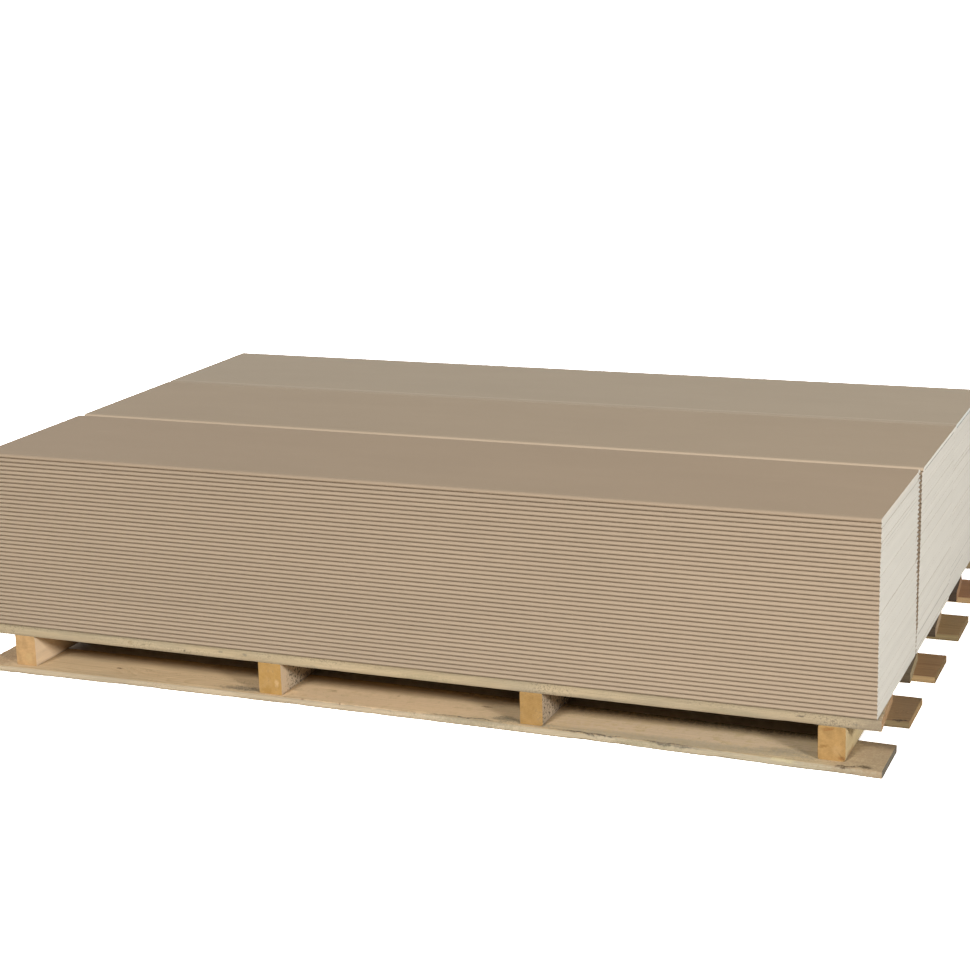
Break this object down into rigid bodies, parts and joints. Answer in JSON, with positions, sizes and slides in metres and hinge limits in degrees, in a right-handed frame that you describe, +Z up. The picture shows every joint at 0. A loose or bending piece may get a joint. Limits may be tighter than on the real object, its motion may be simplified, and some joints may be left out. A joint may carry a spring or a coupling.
{
  "type": "pallet of drywall sheets",
  "caption": "Side-by-side stacks of long narrow plasterboard sheets with rounded paper-wrapped edges, loaded on a low timber stringer pallet.",
  "frame": {"origin": "on the ground, under the middle of the pallet", "axes": "+X along the sheets' long edges, -Y towards the front stack, +Z up"},
  "size_m": [2.0564, 1.2859, 0.507],
  "materials": {
    "plasterboard": "matte",
    "pallet_board": "matte",
    "pallet_stringer": "matte"
  },
  "bodies": {
    "root": {"sheet_layer_01": "plasterboard", "sheet_layer_02": "plasterboard", "sheet_layer_03": "plasterboard", "sheet_layer_04": "plasterboard", "sheet_layer_05": "plasterboard", "sheet_layer_06": "plasterboard", "sheet_layer_07": "plasterboard", "sheet_layer_08": "plasterboard", "sheet_layer_09": "plasterboard", "sheet_layer_10": "plasterboard", "sheet_layer_11": "plasterboard", "sheet_layer_12": "plasterboard", "sheet_layer_13": "plasterboard", "sheet_layer_14": "plasterboard", "sheet_layer_15": "plasterboard", "sheet_layer_16": "plasterboard", "sheet_layer_17": "plasterboard", "sheet_layer_18": "plasterboard", "sheet_layer_19": "plasterboard", "sheet_layer_20": "plasterboard", "sheet_layer_21": "plasterboard", "sheet_layer_22": "plasterboard", "sheet_layer_23": "plasterboard", "sheet_layer_24": "plasterboard", "sheet_layer_25": "plasterboard", "sheet_layer_26": "plasterboard", "sheet_layer_27": "plasterboard", "sheet_layer_28": "plasterboard", "sheet_layer_29": "plasterboard", "sheet_layer_30": "plasterboard", "sheet_layer_31": "plasterboard", "sheet_layer_32": "plasterboard", "sheet_layer_33": "plasterboard", "sheet_layer_34": "plasterboard", "sheet_layer_35": "plasterboard", "sheet_layer_36": "plasterboard", "sheet_layer_37": "plasterboard", "sheet_layer_38": "plasterboard", "sheet_layer_39": "plasterboard", "sheet_layer_40": "plasterboard", "sheet_layer_41": "plasterboard", "front_top_sheet": "plasterboard", "middle_top_sheet": "plasterboard", "rear_top_sheet": "plasterboard", "bottom_board_1": "pallet_board", "bottom_board_2": "pallet_board", "bottom_board_3": "pallet_board", "bottom_board_4": "pallet_board", "bottom_board_5": "pallet_board", "deck_board_1": "pallet_board", "deck_board_2": "pallet_board", "deck_board_3": "pallet_board", "deck_board_4": "pallet_board", "deck_board_5": "pallet_board", "stringer_1": "pallet_stringer", "stringer_2": "pallet_stringer", "stringer_3": "pallet_stringer", "stringer_4": "pallet_stringer"}
  },
  "joints": []
}
